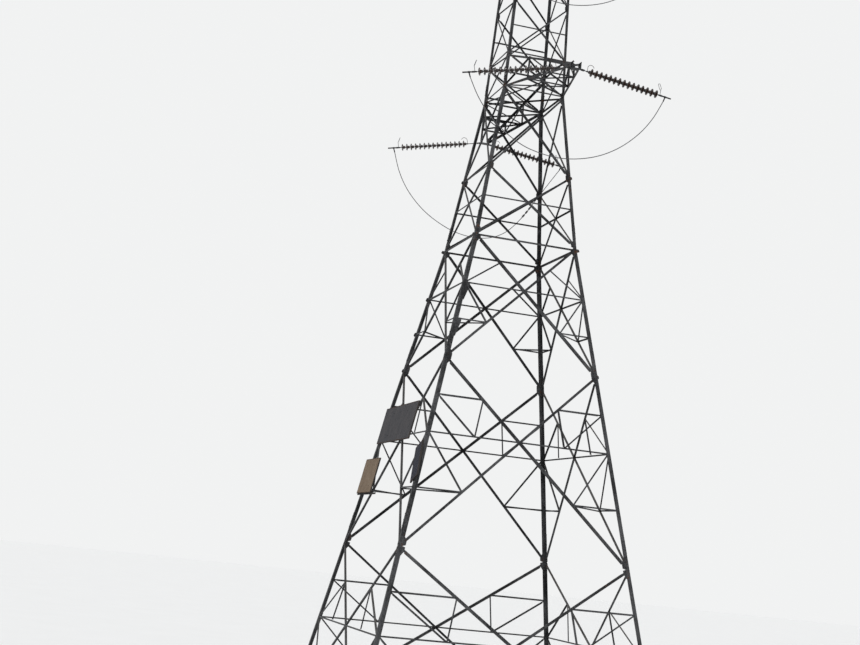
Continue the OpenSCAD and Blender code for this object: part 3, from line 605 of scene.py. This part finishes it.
# Finishes of the solids
Paint = namedtuple("Paint", "fresh worn faded")
BOARD_PAINT = {
    "sign_large": Paint((0.030, 0.030, 0.035), (0.028, 0.024, 0.024), (0.062, 0.057, 0.059)),
    "sign_tan": Paint((0.135, 0.094, 0.060), (0.105, 0.068, 0.045), (0.225, 0.166, 0.115)),
    # The narrow board: dark navy paint, made darker still than the other boards as painted shade
    "sign_narrow": Paint((0.011, 0.0115, 0.020), (0.016, 0.015, 0.016), (0.024, 0.026, 0.037)),
}
BOARD_SIZE = {"sign_large": (4.2, 1.27), "sign_tan": (1.95, 1.22), "sign_narrow": (0.6, 1.25)}
BOARD_FOOT = {"sign_large": 9.99, "sign_tan": 8.27, "sign_narrow": 8.5}
# Which leg of the left side a board's lower left corner is measured from, how far in, and the board's turn
BOARD_START = {"sign_large": (-1, 0.5 * BODY.leg, 0.0), "sign_tan": (-1, -0.4, 0.0),
               "sign_narrow": (1, 2.2 * BODY.leg, math.radians(25))}


def board_frames():
    """Middle of each board on the left side's plane, and its turn in that plane."""
    face = Face(3, BODY)
    frames = {}
    for name, (w, h) in BOARD_SIZE.items():
        foot, (s, inward, slant) = BOARD_FOOT[name], BOARD_START[name]
        corner = Vector((s * (half_at(foot) - inward), face.up(foot)))
        frames[name] = tuple(corner + Matrix.Rotation(slant, 2) @ Vector((w / 2, h / 2))), slant
    return frames


def finish_of(node):
    """Finish of a solid, by its name."""
    kind = node.split("_")[0]
    if kind == "sign":
        return painted_board(f"paint_{node}", BOARD_PAINT[node], BOARD_SIZE[node], *board_places[node])
    if kind == "insulators":
        return porcelain(node.split("_", 1)[1])
    return {"footings": concrete, "fittings": fitting_zinc, "jumper": wire_finish}.get(kind, steel)


board_places = board_frames()
concrete = cast_concrete()
for node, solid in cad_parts.items():
    finish = finish_of(node)
    for material_slot in solid.material_slots:
        material_slot.material = finish


# Panels of a side and what is bolted in them, with heights up the face; a panel's style is that of its small
# struts, 0 for none
Panel = namedtuple("Panel", "low high style")
# Where a gusset is, and how far its bolts run down and up from there, 0 where it has none
Gusset = namedtuple("Gusset", "at below above")
# Start of the lowest panel, and how far panels stay from a stretch's ends and from the levels between them
FOOT_UP, END_GAP = 0.26, 0.06
FIRST_GAP, SECOND_GAP, NECK_GAP, CAGE_GAP, PEAK_GAP = 0.05, 0.04, 0.035, 0.05, 0.03
# How far in the bolts are: at a diagonal's end in the leg, at a strut's end there, and those in the gusset
END_BOLT, STRUT_BOLT = 0.030, 0.020
DIAGONAL_BOLTS = {BODY: (0.118, 0.178), NECK: (0.088, 0.138), CAGE: (0.072, 0.112), TOP: ()}
# A gusset's own bolts, in parts of their run; nearer its middle than CLEAR_OF_BARS the bars' bolts hold it
GUSSET_ROWS, CLEAR_OF_BARS = (-0.82, -0.48, 0.48, 0.82), 0.065
NEAR_GUSSET = 0.2        # a strut nearer than this to a gusset's middle ends on the gusset


def panels_of(face):
    """Crossed panels, level struts and gussets of a face, as they are in the solids."""
    tall = 2 if face.side % 2 == 0 else 3
    low, top = GUSSET_LOW / 2, GUSSET_TOP / 2
    if face.stretch is BODY:
        first, second, last = face.up(LEVEL_1), face.up(LEVEL_2), face.up(LEVEL_3) - END_GAP
        panels = [Panel(FOOT_UP, first - FIRST_GAP, tall),
                  Panel(first + FIRST_GAP, second - SECOND_GAP, tall),
                  Panel(second + SECOND_GAP, last, 1)]
        levels = [face.crossing(p.low, p.high).y for p in panels] + [last]
        gussets = [Gusset(FOOT_UP, 0.4 * low, low), Gusset(first - FIRST_GAP, low, 0),
                   Gusset(first + FIRST_GAP, 0, low), Gusset(second, low, low), Gusset(last, low, 0)]
    elif face.stretch is NECK:
        foot, middle, last = END_GAP, face.up(LEVEL_4), face.up(WAIST) - END_GAP
        panels = [Panel(foot, middle - NECK_GAP, 0), Panel(middle + NECK_GAP, last, 0)]
        levels = [face.crossing(foot, middle - NECK_GAP).y] + ([middle] if face.side % 2 else [])
        gussets = [Gusset(foot, 0, 1.2 * top), Gusset(middle, top, top), Gusset(last, 1.2 * top, 0)]
    elif face.stretch is CAGE:
        stops = [0, ARM_DEPTH, CAGE_MID, ARM_PITCH, ARM_PITCH + ARM_DEPTH]
        panels = [Panel(a + CAGE_GAP, b - CAGE_GAP, 0) for a, b in zip(stops, stops[1:])]
        levels = [stops[i] + CAGE_GAP for i in (0, 1, 3)] + [stops[4] - CAGE_GAP]
        if face.side % 2 == 0:
            levels += [face.crossing(p.low, p.high).y for p in panels[1:3]]
        half = 0.8 * top
        gussets = [Gusset(stops[i], half, half) for i in (1, 2)]
        gussets += [Gusset(stops[i] + CAGE_GAP, 0, half) for i in (0, 3)]
        gussets.append(Gusset(stops[4] - CAGE_GAP, half, 0))
    else:
        low_level, high_level = (part * face.up(HEAD + PEAK_RISE) for part in (0.42, 0.76))
        panels = [Panel(END_GAP, low_level - PEAK_GAP, 0),
                  Panel(low_level + PEAK_GAP, high_level - PEAK_GAP, 0)]
        levels, gussets = [low_level, high_level], []
    return panels, levels, gussets


def leg_bolt(heap, face, spot):
    """A bolt through a leg's flange and the plate behind it."""
    heap.bolt(face.place @ Matrix.Translation((*spot, 0)), face.stretch.thick + GUSSET_T)


def bar_bolt(heap, face, spot, grip=GUSSET_T):
    """A bolt through a bar that lies behind the legs' plane."""
    heap.bolt(face.place @ Matrix.Translation((*spot, -face.stretch.thick)), grip)


def panel_bolts(heap, face, panel):
    """Bolts of the two diagonals and of the small struts beside both legs."""
    cross = face.crossing(panel.low, panel.high)
    bar_bolt(heap, face, cross, BRACE_T)
    for s in (-1, 1):
        ends = [face.gauge(s, v) for v in (panel.low, panel.high)]
        for end in ends:
            along = (cross - end).normalized()
            leg_bolt(heap, face, end + END_BOLT * along)
            for step in DIAGONAL_BOLTS[face.stretch]:
                bar_bolt(heap, face, end + step * along)
        if not panel.style:
            continue
        inward = Vector((-s * STRUT_BOLT, 0))
        down, up = ((end + cross) / 2 for end in ends)
        at_leg = face.gauge(s, cross.y)
        leg_bolt(heap, face, face.gauge(s, down.y) + inward)
        for spot in (down, up):
            bar_bolt(heap, face, spot, BRACE_T)
        if panel.style == 2:
            leg_bolt(heap, face, face.gauge(s, up.y) + inward)
        if panel.style > 1:
            bar_bolt(heap, face, (at_leg + cross) / 2, BRACE_T)


def gusset_bolts(heap, face, gusset):
    """Bolts that hold a gusset to the leg, clear of the bars' own."""
    for s in (-1, 1):
        for row in GUSSET_ROWS:
            far = row * (gusset.below if row < 0 else gusset.above)
            if abs(far) > CLEAR_OF_BARS:
                leg_bolt(heap, face, face.gauge(s, gusset.at + far))


def side_bolts(side, finish):
    """All bolts of one side of the tower, from the footings to the peak."""
    heap = Heap(f"bolts_{SIDE_NAMES[side]}", finish)
    for stretch in (BODY, NECK, CAGE, TOP):
        face = Face(side, stretch)
        panels, levels, gussets = panels_of(face)
        for panel in panels:
            panel_bolts(heap, face, panel)
        for gusset in gussets:
            gusset_bolts(heap, face, gusset)
        for v in levels:
            meets_gusset = any(abs(v - g.at) < NEAR_GUSSET for g in gussets)
            for s in (-1, 1):
                inward = Vector((-s, 0))
                if meets_gusset:
                    bar_bolt(heap, face, face.gauge(s, v) + DIAGONAL_BOLTS[stretch][0] * inward)
                else:
                    leg_bolt(heap, face, face.gauge(s, v) + STRUT_BOLT * inward)
    heap.make()


# Splices: stretch, height and length of each, then where the plates' edges and their bolts are in parts of
# the leg's width, and the rows of bolts in parts of the length
SPLICES = ((BODY, 7.35, 0.56), (BODY, 13.2, 0.56), (NECK, 17.42, 0.5), (CAGE, 22.58, 0.42))
SPLICE_T, SPLICE_CUT = 0.010, 0.018
SPLICE_EDGES, SPLICE_COLUMNS = (0.12, 0.92), (0.36, 0.68)
SPLICE_ROWS = (-0.42, -0.24, -0.08, 0.08, 0.24, 0.42)
SINK = 0.001             # how deep plates and rivets sit in what they lie on


def splices(plate_finish, bolt_finish):
    """Cover plates on both flanges of each leg where its lengths meet."""
    plates, bolts = Heap("leg_splices", plate_finish), Heap("splice_bolts", bolt_finish)
    for stretch, z, length in SPLICES:
        for side in range(4):
            face = Face(side, stretch)
            for s in (-1, 1):
                # the plate follows the leg, so its own x runs square to the leg's edge
                foot = face.edge(s, face.up(z))
                lean = Matrix.Rotation(s * math.atan(face.lean), 4, "Z")
                place = face.place @ Matrix.Translation((*foot, 0)) @ lean
                x0, x1 = sorted(-s * edge * stretch.leg for edge in SPLICE_EDGES)
                outline = cut_rectangle(x0, x1, -length / 2, length / 2, SPLICE_CUT)
                plates.add(plate(outline, -SINK, SPLICE_T), place)
                for i, row in enumerate(SPLICE_ROWS):
                    x = -s * stretch.leg * SPLICE_COLUMNS[i % 2]
                    spot = place @ Matrix.Translation((x, row * length, SPLICE_T))
                    bolts.bolt(spot, SPLICE_T + stretch.thick)
    plates.make()
    bolts.make()


# Corner struts and outer plates
STRUT_WIDTH, STRUT_T, STRUT_BACK = 0.045, 0.0045, 0.014
# A plate past a corner: its foot and top from its level, its reach out from the corner and in from there
OuterPlate = namedtuple("OuterPlate", "foot top out inside")
OUTER_PLATES = ((BODY, LEVEL_3, OuterPlate(-0.13, -0.02, 0.085, 0.085)),
                (BODY, LEVEL_2, OuterPlate(-0.07, 0.05, 0.035, 0.085)),
                (NECK, LEVEL_4, OuterPlate(-0.05, 0.06, 0.045, 0.07)))
BACK_PLATE = OuterPlate(-0.08, 0.06, 0.05, 0.085)
OUTER_T, OUTER_CUT, OUTER_ROWS = 0.008, 0.02, (0.3, 0.75)
# Outline of a long plate: height from the strut that meets it, and how far past the flange's edge; then how
# far in and how far down its bolts are, those through the flange and those past its edge
LONG_PLATE = ((-0.60, -0.02), (-0.60, 0.03), (-0.14, 0.115), (0.03, 0.115), (0.03, -0.02))
LONG_PLATE_T, PLATE_GAP = 0.0095, 0.0005
FLANGE_BOLTS_IN, FLANGE_ROWS = 0.76 * BODY.leg, (0.10, 0.24, 0.38, 0.52)
EDGE_BOLTS_IN, EDGE_ROWS = BODY.leg + 0.07, (0.07, 0.19)


def corner_struts(finish):
    """Short level struts round each leg between the feet of the small struts of its two sides."""
    heap = Heap("corner_struts", finish)
    depth = -BODY.thick - STRUT_BACK
    for side in range(4):
        face, beside = Face(side, BODY), Face(side + 1, BODY)
        for panel in panels_of(face)[0]:
            cross = face.crossing(panel.low, panel.high)
            p = face.world((face.gauge(1, panel.low) + cross) / 2, depth)
            q = beside.world((beside.gauge(-1, panel.low) + cross) / 2, depth)
            heap.add(angle_bar(p, q, STRUT_WIDTH, STRUT_T, (0, 0, 1)))
    heap.make()


def outer_plate(plates, bolts, face, s, z, shape):
    """A plate on a leg's flange at the height z that reaches past the corner on side s."""
    low, high = face.up(z + shape.foot), face.up(z + shape.top)
    foot, top, long = face.edge(s, low), face.edge(s, high), high - low
    spots = [(foot.x + s * 0.35 * shape.out, low), (foot.x + s * shape.out, low + 0.3 * long),
             (top.x + s * shape.out, high - OUTER_CUT), (top.x + s * (shape.out - OUTER_CUT), high),
             (top.x - s * shape.inside, high), (foot.x - s * shape.inside, low)]
    plates.add(plate(spots if s > 0 else spots[::-1], -SINK, OUTER_T), face.place)
    for row in OUTER_ROWS:
        spot = face.edge(s, low + row * long, SPLICE_COLUMNS[0] * face.stretch.leg)
        bolts.bolt(face.place @ Matrix.Translation((*spot, OUTER_T)), OUTER_T + face.stretch.thick)


def long_plate(plates, bolts, face, v):
    """A long plate behind the left leg's flange, hung from the small strut that meets it at the height v."""
    outline = [tuple(face.edge(-1, v + up, BODY.leg + past)) for up, past in LONG_PLATE]
    back = -BODY.thick
    plates.add(plate(outline, back - LONG_PLATE_T, back - PLATE_GAP), face.place)
    for down in FLANGE_ROWS:
        leg_bolt(bolts, face, face.edge(-1, v - down, FLANGE_BOLTS_IN))
    for down in EDGE_ROWS:
        bar_bolt(bolts, face, face.edge(-1, v - down, EDGE_BOLTS_IN), LONG_PLATE_T)


def outer_plates(plate_finish, bolt_finish):
    """Plates on the front and the back that reach past the legs' corners at the bend and at the panel points
    next to it, and the long ones at the small struts of the two left legs."""
    plates, bolts = Heap("outer_plates", plate_finish), Heap("outer_plate_bolts", bolt_finish)
    for side in (0, 2):
        for s in (-1, 1):
            for stretch, z, shape in OUTER_PLATES:
                outer_plate(plates, bolts, Face(side, stretch), s, z, shape)
    front, back = Face(0, BODY), Face(2, BODY)
    panel = panels_of(front)[0][2]
    middle = front.crossing(panel.low, panel.high).y
    for v in (middle, (panel.low + middle) / 2):
        outer_plate(plates, bolts, back, 1, BODY.foot + v * back.rise, BACK_PLATE)
        long_plate(plates, bolts, front, v)
    plates.make()
    bolts.make()


# Arms: where the posts are in parts of an arm's length, and the height of the lower and the upper chord
# above the arm's level at the root and above the lugs' level at the tip
ARM_POSTS = (0.36, 0.68)
CHORDS = ((0.065, 0.095), (ARM_DEPTH - 0.09, 0.185))
ARM_PLATE_T = 0.008
# Bolts of its plates: half the gaps between the four at a root, then the columns and rows at a tip
ROOT_ACROSS, ROOT_UP = 0.021, 0.037
TIP_COLUMNS, TIP_ROWS = (-0.13, -0.07, 0.0, 0.06), (0.055, 0.125, 0.195)


def arm_bolts(finish):
    """Bolts at the roots, the posts and the tip plates of the arms."""
    heap = Heap("arm_bolts", finish)
    face = Face(0, CAGE)
    for arm in ARMS.values():
        turn = Matrix.Rotation(0 if arm.way > 0 else math.pi, 4, "Z")
        root = WAIST + arm.level * ARM_PITCH
        tip_x, tip_z = arm.reach - TIP_BACK, root - arm.drop
        for s in (-1, 1):
            for at_root, at_tip in CHORDS:
                z0, z1 = root + at_root, tip_z + at_tip
                half = half_at(z0)
                root_y = half - CAGE.leg / 2
                for part in ARM_POSTS:
                    spot = Vector((half + part * (tip_x - half), s * ((1 - part) * root_y + part * TIP_HALF),
                                   z0 + part * (z1 - z0)))
                    heap.bolt(turn @ Matrix.Translation(spot), BRACE_T)
                for dx in (-ROOT_ACROSS, ROOT_ACROSS):
                    for dv in (-ROOT_UP, ROOT_UP):
                        spot = (s * root_y + dx, face.up(z0) + dv, ARM_PLATE_T)
                        heap.bolt(turn @ face.place @ Matrix.Translation(spot), ARM_PLATE_T + CAGE.thick)
            for dx in TIP_COLUMNS:
                for dz in TIP_ROWS:
                    spot = Vector((tip_x + dx, s * (TIP_HALF + ARM_PLATE_T * (s > 0)), tip_z + dz))
                    heap.bolt(turn @ frame_of(spot, (0, s, 0), (1, 0, 0)), ARM_PLATE_T)
    heap.make()


# Boards and feet: gap and inset of the rivets, the straps in parts of a board's height and their bolts' gap,
# then where a base plate is and how its bolts are spread
RIVET_GAP, RIVET_INSET = 0.26, 0.028
STRAPS, STRAP_GAP = (-0.3, 0.3), 0.9
BASE_PLATE_IN, BASE_PLATE_T, ANCHOR_SPREAD = 0.06, 0.024, 0.16


def board_rivets(finish):
    """Round-headed rivets along the rims of the boards and bolts where their straps pass the legs."""
    heap = Heap("board_rivets", finish)
    face = Face(3, BODY)
    head = turned(10, [(0.0085, -SINK), (0.0080, 0.002), (0.0052, 0.0048)])
    for name, (w, h) in BOARD_SIZE.items():
        middle, slant = board_places[name]
        place = face.place @ Matrix.Translation((*middle, BOARD_OUT)) @ Matrix.Rotation(slant, 4, "Z")
        columns, rows = max(2, round(w / RIVET_GAP)), max(2, round(h / RIVET_GAP))
        for i in range(columns + 1):
            for j in range(rows + 1):
                if i in (0, columns) or j in (0, rows):
                    x = (i / columns - 0.5) * (w - 2 * RIVET_INSET)
                    y = (j / rows - 0.5) * (h - 2 * RIVET_INSET)
                    heap.add(head, place @ Matrix.Translation((x, y, 0)))
        for level in STRAPS:
            count = max(2, round(w / STRAP_GAP))
            for i in range(count):
                x = ((i + 0.5) / count - 0.5) * w
                spot = place @ Matrix.Translation((x, level * h, 0))
                heap.bolt(spot, BOARD_OUT - RIM_T, across=0.019, head=0.007)
    heap.make()


def anchor_bolts(finish):
    """Four anchor bolts on each base plate, each with a washer, two nuts and a threaded end."""
    heap = Heap("anchor_bolts", finish)
    centre, top = BASE_HALF - BASE_PLATE_IN, FOOT_TOP + BASE_PLATE_T
    shapes = [turned(12, [(0.036, -SINK), (0.036, 0.007)]),
              turned(6, [(0.0265, 0.0065), (0.0265, 0.029), (0.0235, 0.032)]),
              turned(6, [(0.0265, 0.031), (0.0265, 0.046), (0.0235, 0.049)], phase=0.4),
              turned(10, [(0.0150, 0.040), (0.0150, 0.074), (0.0125, 0.077)])]
    for sx in (-1, 1):
        for sy in (-1, 1):
            for dx in (-ANCHOR_SPREAD, ANCHOR_SPREAD):
                for dy in (-ANCHOR_SPREAD, ANCHOR_SPREAD):
                    place = Matrix.Translation((sx * centre + dx, sy * centre + dy, top))
                    place = place @ Matrix.Rotation(chance.uniform(0, 1), 4, "Z")
                    for shape in shapes:
                        heap.add(shape, place)
    heap.make()


for side in range(4):
    side_bolts(side, bolt_zinc)
splices(steel, bolt_zinc)
corner_struts(steel)
outer_plates(steel, bolt_zinc)
arm_bolts(bolt_zinc)
board_rivets(bolt_zinc)
anchor_bolts(bolt_zinc)


# Floor, sky and light
def plain_world():
    """Even light on the tower, in front of a pale background."""
    world = bpy.data.worlds.new("studio")
    world.use_nodes = True
    bpy.context.scene.world = world
    world.node_tree.nodes.clear()
    t = Tree(world.node_tree)
    lit = t.node("ShaderNodeBackground", None, {"Color": (0.95, 0.97, 1.0, 1), "Strength": 0.5})
    seen = t.node("ShaderNodeBackground", None, {"Color": (0.882, 0.889, 0.889, 1), "Strength": 1.0})
    rays = [t.node("ShaderNodeLightPath", out=ray)
            for ray in ("Is Camera Ray", "Is Glossy Ray", "Is Transmission Ray")]
    direct = rays[0].most(rays[1]).most(rays[2])
    sky = t.node("ShaderNodeMixShader", None, {0: direct, 1: lit, 2: seen})
    t.node("ShaderNodeOutputWorld", None, {"Surface": sky})


def sun(name, direction, strength, size):
    """A soft lamp that shines along a direction, as wide as so many degrees of the sky."""
    data = bpy.data.lights.new(name, "SUN")
    data.energy = strength
    data.angle = math.radians(size)
    lamp = bpy.data.objects.new(name, data)
    lamp.rotation_euler = Vector(direction).to_track_quat("-Z", "Y").to_euler()
    bpy.context.scene.collection.objects.link(lamp)


def pale_floor():
    """A wide floor just off white, which keeps the tower's shadow."""
    mesh, far = bpy.data.meshes.new("floor"), 300
    mesh.from_pydata([(-far, -far, 0), (far, -far, 0), (far, far, 0), (-far, far, 0)], [], [(0, 1, 2, 3)])
    floor = bpy.data.objects.new("floor", mesh)
    bpy.context.scene.collection.objects.link(floor)
    f = Finish("pale_floor")
    tone = f.mix((0.84, 0.84, 0.83), (0.88, 0.88, 0.87), f.noise(0.3, 3))
    mesh.materials.append(f.set(tone, 0.88 + f.noise(2, 3) * 0.06, f.noise(3, 2), 0.0005))


plain_world()
sun("key", (-0.75, 0.45, -0.85), 1.95, 12)
sun("fill", (-0.4, -0.9, -0.35), 0.65, 40)
pale_floor()
bpy.context.scene.view_settings.view_transform = "Standard"
